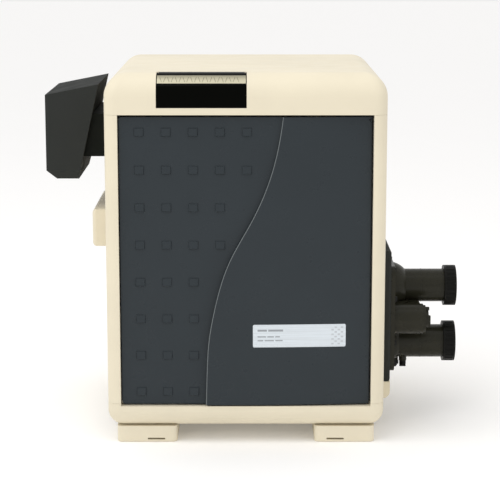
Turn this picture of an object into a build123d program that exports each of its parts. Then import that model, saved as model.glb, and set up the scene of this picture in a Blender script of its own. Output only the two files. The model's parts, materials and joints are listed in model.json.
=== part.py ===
"""Gas-fired pool and spa heater in a square cabinet, millimetres, +Z up.

The origin is the middle of the whole heater's footprint, on the floor. +X points to the water
header on the right-hand side, -Y to the front door. The cabinet itself stands a little to the
left of the origin, because the water header reaches further than the exhaust hood.
"""
from build123d import *
from math import cos, radians, sin, sqrt
import os

os.makedirs("parts", exist_ok=True)

# ---------------------------------------------------------------- driving dimensions
CABINET = 546.0            # width and depth of the square cabinet
HEIGHT = 732.0             # floor to the flat top
CX = -17.5                 # cabinet centre along X
HALF = CABINET / 2
WALL = 3.0                 # moulded panel thickness
GAP = 0.3                  # gap between neighbouring mouldings
CORNER_R = 22.0            # upright corners in plan

FOOT_H = 33.0
BASE_TOP = 81.4            # seam between base and side panels
COVER_SEAM = 653.0         # seam between side panels and top cover
POST_W = 26.5              # how far a side panel wraps round to the front

DOOR_HALF_W = 244.0
DOOR_BOTTOM, DOOR_TOP = 79.5, 648.5
DOOR_FACE = -HALF + 9.0    # flat part of the door, recessed behind the cabinet's front
DOOR_BACK = DOOR_FACE + 12.0
CROWN_PEAK = -HALF - 4.0   # foremost point of the door's crowned panel
CROWN_X, CROWN_Z = -60.0, 300.0
CROWN_RX, CROWN_RZ = 3400.0, 12000.0

COVER_R = 45.0             # rounding of the top cover
ARC_Y, ARC_Z = -HALF + COVER_R, HEIGHT - COVER_R   # centre of that rounding at the front
WIN_LEFT, WIN_RIGHT = -171.8, 2.1                  # control window in the cover
WIN_BOTTOM = 666.4
WIN_BACK = -224.5
WIN_MID = (WIN_LEFT + WIN_RIGHT) / 2
PANEL_TILT = 45.0
FACE_OUT, FACE_IN = 22.0, 19.0     # key face, measured out from the arc centre
HINGE_Y, HINGE_Z = -231.0, 726.5
HINGE_PIN_R = 1.5

CHAMBER_Y = 70.0
CHAMBER_R = 165.0
CHAMBER_TOP = 426.0
FLANGE_R = 178.0
FLUE_X, FLUE_Y, FLUE_R = -102.0, 65.0, 42.0

BLOWER_X, BLOWER_Z, BLOWER_R = -58.0, 190.0, 88.0
BLOWER_FRONT, BLOWER_BACK = -200.0, -130.0
MIX_PIPE_R = 30.0
MIX_Y = (BLOWER_FRONT + BLOWER_BACK) / 2

HEADER_Y = -38.0
UPPER_Z, LOWER_Z = 272.0, 153.0    # axes of the two water stubs
STUB_R = 34.25
STUB_END = 432.0
SOCKET_R, SOCKET_L = 30.2, 38.0    # takes 60.3 mm pipe
WATERWAY_R = 26.0
BYPASS_Y, BYPASS_Z, BYPASS_R = -108.0, 216.0, 31.0
PLATE_X = 294.0                    # outer face of the plumbing plate
NUT_START, NUT_END, NUT_R = 411.0, 435.5, 42.0

HOOD_HALF_Y = 130.0
DUCT_HALF_Y, DUCT_BOTTOM, DUCT_TOP = 115.0, 553.0, 639.0


# ---------------------------------------------------------------- helpers
def block(x0, x1, y0, y1, z0, z1, mode=Mode.ADD):
    """Box between two corners, x measured from the cabinet's centre."""
    with Locations((CX + (x0 + x1) / 2, (y0 + y1) / 2, (z0 + z1) / 2)):
        return Box(x1 - x0, y1 - y0, z1 - z0, mode=mode)


def rod(x, y, z, axis, radius, length, mode=Mode.ADD):
    """Cylinder that starts at a point and runs along an axis."""
    with Locations(Plane(origin=(CX + x, y, z), z_dir=axis)):
        return Cylinder(radius, length, align=(Align.CENTER, Align.CENTER, Align.MIN), mode=mode)


def front_plane(y):
    """Upright plane facing the front; local x is X from the cabinet centre, local y is Z."""
    return Plane(origin=(CX, y, 0), x_dir=(1, 0, 0), z_dir=(0, -1, 0))


def side_plane(x):
    """Upright plane facing +X; local x is Y, local y is Z."""
    return Plane(origin=(CX + x, 0, 0), x_dir=(0, 1, 0), z_dir=(1, 0, 0))


def level(z):
    """Horizontal plane centred on the cabinet."""
    return Plane(origin=(CX, 0, z))


def key_plane(out):
    """Plane parallel to the sloping key face; local y runs up the slope."""
    tilt = radians(PANEL_TILT)
    centre = (CX + WIN_MID, ARC_Y - out * sin(tilt), ARC_Z + out * cos(tilt))
    return Plane(origin=centre, x_dir=(1, 0, 0), z_dir=(0, -sin(tilt), cos(tilt)))


def pipe_run(points, radius, bend, bore=0.0):
    """Round pipe along a bent path of points, hollow when a bore is given."""
    placed = [(CX + x, y, z) for x, y, z in points]
    with BuildLine() as path:
        if len(placed) > 2:
            FilletPolyline(*placed, radius=bend)
        else:
            Line(*placed)
    start = Plane(origin=path.line @ 0, z_dir=path.line % 0)
    with BuildSketch(start) as section:
        Circle(radius)
        if bore:
            Circle(bore, mode=Mode.SUBTRACT)
    sweep(section.sketch, path=path.line)


X_AXIS, Y_AXIS, Z_AXIS = (1, 0, 0), (0, 1, 0), (0, 0, 1)

# ---------------------------------------------------------------- cabinet
with BuildPart() as side_step:
    block(HALF - 4, PLATE_X, -153, 153, 59, 94.5)
    lower_edge = side_step.faces().sort_by(Axis.X)[-1].edges().sort_by(Axis.Z)[0]
    fillet(lower_edge, 15)

with BuildPart() as base_tray:
    with BuildSketch(level(FOOT_H)):
        RectangleRounded(CABINET, CABINET, CORNER_R)
    extrude(amount=BASE_TOP - FOOT_H)
    fillet(base_tray.faces().sort_by(Axis.Z)[0].edges(), 32)
    with BuildSketch(level(FOOT_H + 6)):
        RectangleRounded(CABINET - 10, CABINET - 10, CORNER_R - 5)
        with Locations((0, -HALF)):
            Rectangle(CABINET, 46, mode=Mode.SUBTRACT)
    extrude(amount=BASE_TOP, mode=Mode.SUBTRACT)
    # ledge that the door stands behind
    block(-POST_W * 9.3, POST_W * 9.3, -HALF, -250, 76.5, BASE_TOP, mode=Mode.SUBTRACT)
    add(side_step.part)
    block(HALF - 5, HALF + GAP, -153, 153, BASE_TOP, 95, mode=Mode.SUBTRACT)

FOOT_IN, FOOT_OUT = 136.0, 255.0
FOOT_FRONT, FOOT_BACK = 262.0, 150.0
FOOT_SLOT_X, FOOT_SLOT_W = 177.5, 34.0
with BuildPart() as feet:
    for side in (-1, 1):
        for end in (-1, 1):
            xs = sorted((side * FOOT_IN, side * FOOT_OUT))
            ys = sorted((end * FOOT_FRONT, end * FOOT_BACK))
            block(*xs, *ys, 0, FOOT_H)
    fillet(feet.edges().filter_by(Axis.Z), 9)
    fillet(feet.faces().group_by(Axis.Z)[0].edges(), 3)
    for side in (-1, 1):
        middle = side * FOOT_SLOT_X
        block(middle - FOOT_SLOT_W / 2, middle + FOOT_SLOT_W / 2, -263, -232, 5, 8.6, mode=Mode.SUBTRACT)
        block(middle - FOOT_SLOT_W / 2, middle + FOOT_SLOT_W / 2, 232, 263, 5, 8.6, mode=Mode.SUBTRACT)

PANEL_BOTTOM, PANEL_TOP = BASE_TOP + GAP, COVER_SEAM - GAP


def side_panel(side):
    """Side panel that wraps both corners: side is -1 for the left and 1 for the right."""
    def span(a, b):
        return sorted((side * a, side * b))
    with BuildSketch(level(PANEL_BOTTOM)) as plan:
        RectangleRounded(CABINET, CABINET, CORNER_R)
        RectangleRounded(CABINET - 2 * WALL, CABINET - 2 * WALL, CORNER_R - WALL, mode=Mode.SUBTRACT)
        with Locations((side * (HALF - POST_W / 2), 0)):
            Rectangle(POST_W, CABINET, mode=Mode.INTERSECT)
    extrude(plan.sketch, amount=PANEL_TOP - PANEL_BOTTOM)
    # door jamb at the front, lap joint behind the rear panel
    block(*span(HALF - POST_W, HALF - POST_W + WALL), -HALF + 0.5, -250, PANEL_BOTTOM, PANEL_TOP)
    block(*span(HALF - POST_W - 21, HALF - POST_W + WALL), HALF - 6.5, HALF - 3.3, PANEL_BOTTOM, PANEL_TOP)
    block(*span(HALF - POST_W, HALF - POST_W + WALL), HALF - 6.5, HALF - 0.5, PANEL_BOTTOM, PANEL_TOP)


REAR_SCREW_X = 237.0
REAR_SCREW_Z = (120, 280, 450, 615)
GAS_Y, GAS_Z = -222.0, 112.0
HOSE_Y, HOSE_Z, HOSE_R = -95.0, 410.0, 32.0

with BuildPart() as left_panel:
    side_panel(-1)
    block(-HALF, -HALF + WALL, -DUCT_HALF_Y - 0.5, DUCT_HALF_Y + 0.5, DUCT_BOTTOM - 0.5, DUCT_TOP + 0.5,
          mode=Mode.SUBTRACT)
    rod(-HALF, HOSE_Y, HOSE_Z, X_AXIS, HOSE_R + 1, WALL, mode=Mode.SUBTRACT)
    rod(-HALF, GAS_Y, GAS_Z, X_AXIS, 19, WALL, mode=Mode.SUBTRACT)
    for z in REAR_SCREW_Z:
        rod(-REAR_SCREW_X, HALF - 7, z, Y_AXIS, 2.2, 5, mode=Mode.SUBTRACT)

CONDUIT_Y, CONDUIT_Z, CONDUIT_R = -210.0, 455.0, 11.1
with BuildPart() as right_panel:
    side_panel(1)
    block(HALF - WALL, HALF, -112, 36, 86, 344, mode=Mode.SUBTRACT)
    rod(HALF - WALL, CONDUIT_Y, CONDUIT_Z, X_AXIS, CONDUIT_R, WALL, mode=Mode.SUBTRACT)
    # ledge over the plumbing plate
    block(HALF - 0.5, HALF + 6, -148, 148, 366.5, 372)
    for z in REAR_SCREW_Z:
        rod(REAR_SCREW_X, HALF - 7, z, Y_AXIS, 2.2, 5, mode=Mode.SUBTRACT)

REAR_HALF_W = HALF - POST_W - GAP
LOUVRE_W, LOUVRE_H, LOUVRE_PITCH = 130.0, 6.0, 18.0
with BuildPart() as rear_panel:
    block(-REAR_HALF_W, REAR_HALF_W, HALF - WALL, HALF, PANEL_BOTTOM, PANEL_TOP)
    for side in (-1, 1):
        for z in REAR_SCREW_Z:
            rod(side * REAR_SCREW_X, HALF - WALL, z, Y_AXIS, 2.2, WALL, mode=Mode.SUBTRACT)
    with BuildSketch(front_plane(HALF)) as louvres:
        for base in (120, 480):
            for row in range(7):
                with Locations((-110, base + row * LOUVRE_PITCH), (110, base + row * LOUVRE_PITCH)):
                    SlotOverall(LOUVRE_W, LOUVRE_H)
    extrude(amount=WALL, mode=Mode.SUBTRACT)

with BuildPart() as panel_screws:
    for side in (-1, 1):
        for z in REAR_SCREW_Z:
            rod(side * REAR_SCREW_X, HALF - 10, z, Y_AXIS, 2.0, 10.5)
            rod(side * REAR_SCREW_X, HALF, z, Y_AXIS, 5.5, 4.0)
    fillet(panel_screws.faces().group_by(Axis.Y)[-1].edges(), 1.5)
    for side in (-1, 1):
        for z in REAR_SCREW_Z:
            block(side * REAR_SCREW_X - 3, side * REAR_SCREW_X + 3, HALF + 2.6, HALF + 4, z - 0.6, z + 0.6,
                  mode=Mode.SUBTRACT)


def cover_form(inset):
    """Top cover's solid form, shrunk by an inset all round."""
    with BuildPart() as form:
        with BuildSketch(level(COVER_SEAM)):
            RectangleRounded(CABINET - 2 * inset, CABINET - 2 * inset, CORNER_R - inset)
        extrude(amount=HEIGHT - COVER_SEAM - inset)
        fillet(form.faces().sort_by(Axis.Z)[-1].edges(), COVER_R - inset)
    return form.part


LIP_X, LIP_Y = 269.5, 266.0
cover_outer = cover_form(0)
cover_inner = cover_form(WALL)
with BuildPart() as top_cover:
    add(cover_outer)
    # lip that drops inside the panels at the sides and the back
    with BuildSketch(level(COVER_SEAM - 12)):
        RectangleRounded(2 * LIP_X, 2 * LIP_Y, CORNER_R - 5)
        RectangleRounded(2 * LIP_X - 5, 2 * LIP_Y - 5, CORNER_R - 7, mode=Mode.SUBTRACT)
        with Locations((0, -LIP_Y)):
            Rectangle(CABINET, 60, mode=Mode.SUBTRACT)
    extrude(amount=16)
    add(cover_inner, mode=Mode.SUBTRACT)
    block(WIN_LEFT, WIN_RIGHT, -HALF - 1, WIN_BACK, WIN_BOTTOM, HEIGHT + 1, mode=Mode.SUBTRACT)

# ---------------------------------------------------------------- front door
with BuildPart() as crown_form:
    for direction in (1, -1):
        with BuildSketch(side_plane(CROWN_X)):
            with BuildLine():
                ends = [CROWN_Z - 240, CROWN_Z + 360]
                drops = [CROWN_RZ - sqrt(CROWN_RZ ** 2 - (z - CROWN_Z) ** 2) for z in ends]
                ThreePointArc((CROWN_PEAK + drops[0], ends[0]), (CROWN_PEAK, CROWN_Z),
                              (CROWN_PEAK + drops[1], ends[1]))
                Polyline((CROWN_PEAK + drops[0], ends[0]), (-240, ends[0]), (-240, ends[1]),
                         (CROWN_PEAK + drops[1], ends[1]))
            make_face()
        spin = Axis((CX + CROWN_X, CROWN_PEAK + CROWN_RX, 0), (0, 0, direction))
        revolve(axis=spin, revolution_arc=6.5)

S_CURVE = [(72, DOOR_TOP), (51, 542), (8, 440), (-34.5, 360.5), (-64.5, 256), (-78, DOOR_BOTTOM)]
SQUARE_X0, SQUARE_PITCH_X = -205.7, 52.0
SQUARE_Z0, SQUARE_PITCH_Z = 104.8, 73.5
SQUARES_IN_ROW = (3, 3, 3, 3, 4, 4, 5, 5)
with BuildPart() as front_door:
    with BuildSketch(front_plane(DOOR_BACK)):
        with BuildLine():
            Spline(*S_CURVE, tangents=[(-0.12, -1), (-0.02, -1)])
            Polyline(S_CURVE[-1], (DOOR_HALF_W, DOOR_BOTTOM), (DOOR_HALF_W, DOOR_TOP), S_CURVE[0])
        make_face()
    extrude(amount=30)
    add(crown_form.part, mode=Mode.INTERSECT)
    long_edges = front_door.edges().filter_by(lambda e: e.length > 560).sort_by(Axis.Y)
    fillet(long_edges.sort_by(Axis.X)[0:2].sort_by(Axis.Y)[0], 3)
    with BuildSketch(front_plane(DOOR_BACK)):
        with BuildLine():
            Spline(*S_CURVE, tangents=[(-0.12, -1), (-0.02, -1)])
            Polyline(S_CURVE[-1], (-DOOR_HALF_W, DOOR_BOTTOM), (-DOOR_HALF_W, DOOR_TOP), S_CURVE[0])
        make_face()
    extrude(amount=DOOR_BACK - DOOR_FACE)
    left_edges = front_door.edges().filter_by(Axis.Y).group_by(Axis.X)[0]
    fillet(left_edges, 5)
    # hollow back, leaving a rim and a middle rib
    block(-DOOR_HALF_W + 4, -88, DOOR_FACE + 3, DOOR_BACK, DOOR_BOTTOM + 4, DOOR_TOP - 4, mode=Mode.SUBTRACT)
    block(82, DOOR_HALF_W - 4, DOOR_FACE + 5, DOOR_BACK, DOOR_BOTTOM + 4, DOOR_TOP - 4, mode=Mode.SUBTRACT)
    with BuildSketch(front_plane(DOOR_FACE)):
        for row, count in enumerate(SQUARES_IN_ROW):
            for column in range(count):
                with Locations((SQUARE_X0 + column * SQUARE_PITCH_X, SQUARE_Z0 + row * SQUARE_PITCH_Z)):
                    Rectangle(19, 16.5)
    extrude(amount=1.5, taper=25)

PLATE_LEFT, PLATE_RIGHT, PLATE_LOW, PLATE_HIGH = 14.0, 196.0, 197.0, 242.5
with BuildPart() as nameplate:
    with BuildSketch(front_plane(DOOR_BACK)):
        with Locations(((PLATE_LEFT + PLATE_RIGHT) / 2, (PLATE_LOW + PLATE_HIGH) / 2)):
            RectangleRounded(PLATE_RIGHT - PLATE_LEFT, PLATE_HIGH - PLATE_LOW, 3)
    extrude(amount=30)
    add(crown_form.part.moved(Location((0, -0.8, 0))), mode=Mode.INTERSECT)
    add(crown_form.part, mode=Mode.SUBTRACT)

with BuildPart() as door_clips:
    for side in (-1, 1):
        for z in (110, 610):
            xs = sorted((side * 226, side * 240.5))
            block(*xs, DOOR_BACK, DOOR_BACK + 1.2, z - 12, z + 12)
            xs = sorted((side * 239.3, side * 240.5))
            block(*xs, DOOR_BACK, DOOR_BACK + 12, z - 8, z + 8)

# ---------------------------------------------------------------- control panel in the top cover
CHEEK = 2.5
HOUSING_LEFT, HOUSING_RIGHT = WIN_LEFT + GAP, WIN_RIGHT - GAP
HOUSING_R = 41.5
KEY_U = (-58.0, -29.0, 0.0, 29.0, 58.0)
KEY_V = -20.0
KEY_W, KEY_H = 18.0, 10.0
LENS_W, LENS_H, LENS_V = 78.0, 22.0, 6.0


def slope_point(out, along):
    """Point (y, z) at a distance out from the arc centre and along the key face's slope."""
    tilt = radians(PANEL_TILT)
    y = ARC_Y - out * sin(tilt) + along * cos(tilt)
    z = ARC_Z + out * cos(tilt) + along * sin(tilt)
    return (y, z)


with BuildPart() as control_housing:
    with BuildSketch(side_plane(HOUSING_LEFT)):
        with BuildLine():
            start = (ARC_Y - HOUSING_R, ARC_Z)
            arc = CenterArc((ARC_Y, ARC_Z), HOUSING_R, 180, -86)
            Polyline(arc @ 1, (-205, 728.3), (-205, 662.8), (start[0], 662.8), start)
        make_face()
    extrude(amount=HOUSING_RIGHT - HOUSING_LEFT)
    inner_left, inner_w = HOUSING_LEFT + CHEEK, HOUSING_RIGHT - HOUSING_LEFT - 2 * CHEEK
    with BuildSketch(side_plane(inner_left)):
        well = [slope_point(FACE_OUT, -60), slope_point(FACE_OUT, 60), slope_point(60, 60), slope_point(60, -60)]
        Polygon(*well, align=None)
        low, high = slope_point(FACE_IN, -35.5), slope_point(FACE_IN, 35.5)
        Polygon((low[0], 665.8), low, high, (-204, high[1]), (-204, 665.8), align=None)
    extrude(amount=inner_w, mode=Mode.SUBTRACT)
    for x in (HOUSING_LEFT, HOUSING_RIGHT - CHEEK):
        rod(x, HINGE_Y, HINGE_Z, X_AXIS, 4.0, CHEEK)
    rod(HOUSING_LEFT, HINGE_Y, HINGE_Z, X_AXIS, HINGE_PIN_R + 0.05, 200, mode=Mode.SUBTRACT)
    with BuildSketch(key_plane(FACE_IN - 1)):
        with Locations((0, LENS_V)):
            Rectangle(LENS_W, LENS_H)
        for u in KEY_U:
            with Locations((u, KEY_V)):
                Rectangle(KEY_W + 0.8, KEY_H + 0.8)
    extrude(amount=6, mode=Mode.SUBTRACT)

COVER_T = 2.6
LID_LEFT, LID_RIGHT = WIN_LEFT + 0.5, WIN_RIGHT - 0.5
BAND_LOW, BAND_HIGH = 35.3, 62.7


def ring_sector(outer, inner, low, high):
    """Ring about the arc centre between two angles above the horizontal, on the open sketch."""
    far = outer + 30
    corners = [(ARC_Y, ARC_Z)]
    for angle in (low, (low + high) / 2, high):
        corners.append((ARC_Y - far * cos(radians(angle)), ARC_Z + far * sin(radians(angle))))
    with Locations((ARC_Y, ARC_Z)):
        Circle(outer)
        Circle(inner, mode=Mode.SUBTRACT)
    Polygon(*corners, align=None, mode=Mode.INTERSECT)


with BuildPart() as control_cover:
    with BuildSketch(side_plane(LID_LEFT)):
        ring_sector(COVER_R, COVER_R - COVER_T, 0, 89.4)
        with Locations((-HALF + COVER_T / 2, (ARC_Z + WIN_BOTTOM + 0.6) / 2)):
            Rectangle(COVER_T, ARC_Z - WIN_BOTTOM - 0.6)
    extrude(amount=LID_RIGHT - LID_LEFT)
    with BuildSketch(side_plane(LID_LEFT + 1.2)):
        ring_sector(COVER_R + 2, COVER_R - 0.6, BAND_LOW, BAND_HIGH)
    extrude(amount=LID_RIGHT - LID_LEFT - 2.4, mode=Mode.SUBTRACT)
    for x0, x1 in ((LID_LEFT, LID_LEFT + 4), (LID_RIGHT - 4, LID_RIGHT)):
        block(x0, x1, HINGE_Y - 7, -220, HINGE_Z - 8, HEIGHT + 1, mode=Mode.SUBTRACT)
    rod(LID_LEFT + 4, HINGE_Y, HINGE_Z, X_AXIS, 3.2, LID_RIGHT - LID_LEFT - 8)
    rod(LID_LEFT, HINGE_Y, HINGE_Z, X_AXIS, HINGE_PIN_R + 0.08, 200, mode=Mode.SUBTRACT)
    # finger notch on the lower edge
    with Locations((CX + WIN_MID, -HALF, WIN_BOTTOM)):
        Cylinder(12, 2, rotation=(90, 0, 0), mode=Mode.SUBTRACT)

with BuildPart() as cover_band:
    with BuildSketch(side_plane(LID_LEFT + 1.3)):
        ring_sector(COVER_R - 0.05, COVER_R - 0.6, BAND_LOW + 0.1, BAND_HIGH - 0.1)
    extrude(amount=LID_RIGHT - LID_LEFT - 2.6)

with BuildPart() as cover_hinge_pin:
    rod(HOUSING_LEFT + 0.2, HINGE_Y, HINGE_Z, X_AXIS, HINGE_PIN_R, HOUSING_RIGHT - HOUSING_LEFT - 0.4)

with BuildPart() as display_module:
    with BuildSketch(key_plane(13.6)):
        with Locations((0, LENS_V)):
            Rectangle(LENS_W + 8, LENS_H + 6)
    extrude(amount=FACE_IN - 13.6)

with BuildPart() as display_lens:
    with BuildSketch(key_plane(20)):
        with Locations((0, LENS_V)):
            RectangleRounded(LENS_W - 0.6, LENS_H - 0.6, 1)
    extrude(amount=1.6)

KEY_FLANGE, KEY_TOP = 17.2, 26.0
with BuildPart() as keypad_board:
    with BuildSketch(key_plane(12)):
        with Locations((0, -5)):
            Rectangle(152, 54)
    extrude(amount=1.6)
    with BuildSketch(key_plane(13.6)):
        for u in KEY_U:
            with Locations((u, KEY_V)):
                Circle(4)
    extrude(amount=1.6)


def key(u):
    """Key cap with a retaining flange behind the sloping face."""
    with BuildSketch(key_plane(KEY_FLANGE)) as flange:
        with Locations((u, KEY_V)):
            Rectangle(KEY_W + 3, KEY_H + 2.5)
    extrude(flange.sketch, amount=1.5)
    with BuildSketch(key_plane(KEY_FLANGE + 1.5)) as cap:
        with Locations((u, KEY_V)):
            RectangleRounded(KEY_W, KEY_H, 2)
    extrude(cap.sketch, amount=KEY_TOP - KEY_FLANGE - 1.5)


with BuildPart() as button_pool:
    key(KEY_U[0])

with BuildPart() as button_spa:
    key(KEY_U[1])

with BuildPart() as button_up:
    key(KEY_U[2])

with BuildPart() as button_down:
    key(KEY_U[3])

with BuildPart() as button_off:
    key(KEY_U[4])

# ---------------------------------------------------------------- exhaust and intake on the left
HOOD_WALL = 2.8
with BuildPart() as exhaust_hood:
    with BuildSketch(front_plane(HOOD_HALF_Y)):
        Polygon((-400.5, 678), (-294, 699), (-337, 507), (-400.5, 507), align=None)
    extrude(amount=2 * HOOD_HALF_Y)
    bottom = exhaust_hood.faces().sort_by(Axis.Z)[0]
    inner_edge = bottom.edges().filter_by(Axis.Y).sort_by(Axis.X)[-1]
    chamfer(bottom.edges() - [inner_edge], 19)
    mouth = exhaust_hood.faces().sort_by(Axis.Z)[0]
    offset(amount=-HOOD_WALL, openings=mouth)
    block(-345, -280, -DUCT_HALF_Y - GAP, DUCT_HALF_Y + GAP, DUCT_BOTTOM - GAP, DUCT_TOP + GAP,
          mode=Mode.SUBTRACT)

with BuildPart() as exhaust_duct:
    block(-342, -HALF + 11, -DUCT_HALF_Y, DUCT_HALF_Y, DUCT_BOTTOM, DUCT_TOP)
    block(-343, -HALF + 12, -DUCT_HALF_Y + 2.5, DUCT_HALF_Y - 2.5, DUCT_BOTTOM + 2.5, DUCT_TOP - 2.5,
          mode=Mode.SUBTRACT)

VANES = 9
with BuildPart() as exhaust_grille:
    block(-379, -340, -107, 107, 509, 512)
    for vane in range(VANES):
        middle = (vane - (VANES - 1) / 2) * 23
        block(-375, -344, middle - 8, middle + 8, 508, 513, mode=Mode.SUBTRACT)

with BuildPart() as flue_box:
    block(-HALF + 11, -45, -113, 113, DUCT_BOTTOM + 2, DUCT_TOP - 2)
    block(-HALF + 10, -47, -111, 111, DUCT_BOTTOM + 4, DUCT_TOP - 4, mode=Mode.SUBTRACT)
    rod(FLUE_X, FLUE_Y, 550, Z_AXIS, FLUE_R + 0.2, 12, mode=Mode.SUBTRACT)

with BuildPart() as flue_riser:
    rod(FLUE_X, FLUE_Y, CHAMBER_TOP + 6, Z_AXIS, FLUE_R, 562 - CHAMBER_TOP - 6)
    rod(FLUE_X, FLUE_Y, CHAMBER_TOP, Z_AXIS, FLUE_R - 1.5, 140, mode=Mode.SUBTRACT)

INTAKE_OUT, INTAKE_LOW, INTAKE_HIGH = -310.0, 372.0, 447.0
with BuildPart() as intake_hood:
    block(INTAKE_OUT, -HALF - GAP, -HOOD_HALF_Y, HOOD_HALF_Y, INTAKE_LOW, INTAKE_HIGH)
    fillet(intake_hood.faces().sort_by(Axis.X)[0].edges(), 8)
    block(INTAKE_OUT + 2.5, -HALF + 1, -HOOD_HALF_Y + 2.5, HOOD_HALF_Y - 2.5, INTAKE_LOW + 2.5,
          INTAKE_HIGH - 2.5, mode=Mode.SUBTRACT)
    block(-300, -280, -115, 115, INTAKE_LOW - 1, INTAKE_LOW + 3, mode=Mode.SUBTRACT)

with BuildPart() as intake_screen:
    block(-303, -277, -118, 118, INTAKE_LOW + 2.5, INTAKE_LOW + 4)
    for slot in range(23):
        middle = (slot - 11) * 10
        block(-298.5, -281.5, middle - 3.5, middle + 3.5, INTAKE_LOW + 2, INTAKE_LOW + 5, mode=Mode.SUBTRACT)

PLENUM_HOSE_X = -162.0
PLENUM_TOP = 236.0
with BuildPart() as intake_hose:
    pipe_run([(PLENUM_HOSE_X, HOSE_Y, PLENUM_TOP), (PLENUM_HOSE_X, HOSE_Y, HOSE_Z),
              (-HALF + 0.5, HOSE_Y, HOSE_Z)], HOSE_R, 60, HOSE_R - 3)

# ---------------------------------------------------------------- combustion chamber
TUBE_LEG_Z = [105 + 30 * turn for turn in range(8)]
COIL_R, TUBE_R, COIL_SWEEP = 108.0, 11.0, 335.0
with BuildPart() as chamber_shell:
    rod(0, CHAMBER_Y, FOOT_H + 6, Z_AXIS, CHAMBER_R, CHAMBER_TOP - FOOT_H - 6)
    rod(0, CHAMBER_Y, CHAMBER_TOP - 4, Z_AXIS, FLANGE_R, 4)
    rod(0, CHAMBER_Y, FOOT_H + 9, Z_AXIS, CHAMBER_R - 2, 400, mode=Mode.SUBTRACT)
    block(90, 170, HEADER_Y - 14, HEADER_Y + 14, 90, 330, mode=Mode.SUBTRACT)

with BuildPart() as chamber_insulation:
    rod(0, CHAMBER_Y, FOOT_H + 10, Z_AXIS, CHAMBER_R - 2.5, CHAMBER_TOP - FOOT_H - 16)
    rod(0, CHAMBER_Y, FOOT_H + 35, Z_AXIS, 132, 400, mode=Mode.SUBTRACT)
    block(40, 170, HEADER_Y - 14, HEADER_Y + 14, 90, 330, mode=Mode.SUBTRACT)

with BuildPart() as heat_exchanger:
    block(HALF - 24, HALF - 12, -88, 12, 85, 340)
    for z in TUBE_LEG_Z:
        with BuildLine():
            leg = Line((CX + HALF - 20, HEADER_Y, z), (CX, HEADER_Y, z))
            CenterArc((CX, CHAMBER_Y, z), COIL_R, 270, -COIL_SWEEP)
        with BuildSketch(Plane(origin=leg @ 0, z_dir=leg % 0)):
            Circle(TUBE_R)
        sweep()

with BuildPart() as chamber_lid:
    rod(0, CHAMBER_Y, CHAMBER_TOP, Z_AXIS, FLANGE_R, 6)
    rod(FLUE_X, FLUE_Y, CHAMBER_TOP + 6, Z_AXIS, FLUE_R + 3.2, 16)
    rod(FLUE_X, FLUE_Y, CHAMBER_TOP + 6, Z_AXIS, FLUE_R + 0.2, 20, mode=Mode.SUBTRACT)
    rod(FLUE_X, FLUE_Y, CHAMBER_TOP, Z_AXIS, FLUE_R - 2, 20, mode=Mode.SUBTRACT)
    rod(0, CHAMBER_Y, CHAMBER_TOP, Z_AXIS, 50, 10, mode=Mode.SUBTRACT)
    rod(95, CHAMBER_Y, CHAMBER_TOP, Z_AXIS, 6.3, 10, mode=Mode.SUBTRACT)

BURNER_FLANGE_R = 54.0
with BuildPart() as burner:
    rod(0, CHAMBER_Y, 205, Z_AXIS, 46, CHAMBER_TOP + 6 - 205)
    rod(0, CHAMBER_Y, CHAMBER_TOP + 6, Z_AXIS, BURNER_FLANGE_R, 4)
    rod(0, CHAMBER_Y, 208, Z_AXIS, 43, 300, mode=Mode.SUBTRACT)

with BuildPart() as igniter:
    rod(95, CHAMBER_Y, 372, Z_AXIS, 3, 60)
    rod(95, CHAMBER_Y, CHAMBER_TOP - 10, Z_AXIS, 6, 17)
    rod(95, CHAMBER_Y, CHAMBER_TOP + 6.5, Z_AXIS, 10, 14)
    rod(95, CHAMBER_Y, CHAMBER_TOP + 20.5, Z_AXIS, 3.5, 16)

MIX_TOP = 488.0
with BuildPart() as mixture_pipe:
    pipe_run([(0, CHAMBER_Y, CHAMBER_TOP + 10), (0, CHAMBER_Y, MIX_TOP), (0, MIX_Y, MIX_TOP),
              (0, MIX_Y, 286)], MIX_PIPE_R, 45, MIX_PIPE_R - 2)
    rod(0, CHAMBER_Y, CHAMBER_TOP + 10, Z_AXIS, BURNER_FLANGE_R, 4)
    rod(0, MIX_Y, 286, Z_AXIS, 34, 4)
    rod(0, CHAMBER_Y, CHAMBER_TOP + 9, Z_AXIS, MIX_PIPE_R - 2, 8, mode=Mode.SUBTRACT)
    rod(0, MIX_Y, 285, Z_AXIS, MIX_PIPE_R - 2, 8, mode=Mode.SUBTRACT)

# ---------------------------------------------------------------- blower
VOLUTE_WALL = 2.5
with BuildPart() as blower_housing:
    for wall, mode in ((0, Mode.ADD), (VOLUTE_WALL, Mode.SUBTRACT)):
        with BuildSketch(front_plane(BLOWER_BACK - wall)):
            with Locations((BLOWER_X, BLOWER_Z)):
                Circle(BLOWER_R - wall)
            with Locations((0, (BLOWER_Z + 286) / 2 - wall / 2)):
                Rectangle(60 - 2 * wall, 286 - BLOWER_Z - wall)
        extrude(amount=BLOWER_BACK - BLOWER_FRONT - 2 * wall, mode=mode)
    rod(BLOWER_X, BLOWER_BACK - 5, BLOWER_Z, Y_AXIS, 40, 10, mode=Mode.SUBTRACT)
    rod(BLOWER_X, BLOWER_FRONT - 1, BLOWER_Z, Y_AXIS, 16, 10, mode=Mode.SUBTRACT)
    rod(0, MIX_Y, 270, Z_AXIS, MIX_PIPE_R - 2, 30, mode=Mode.SUBTRACT)

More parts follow.
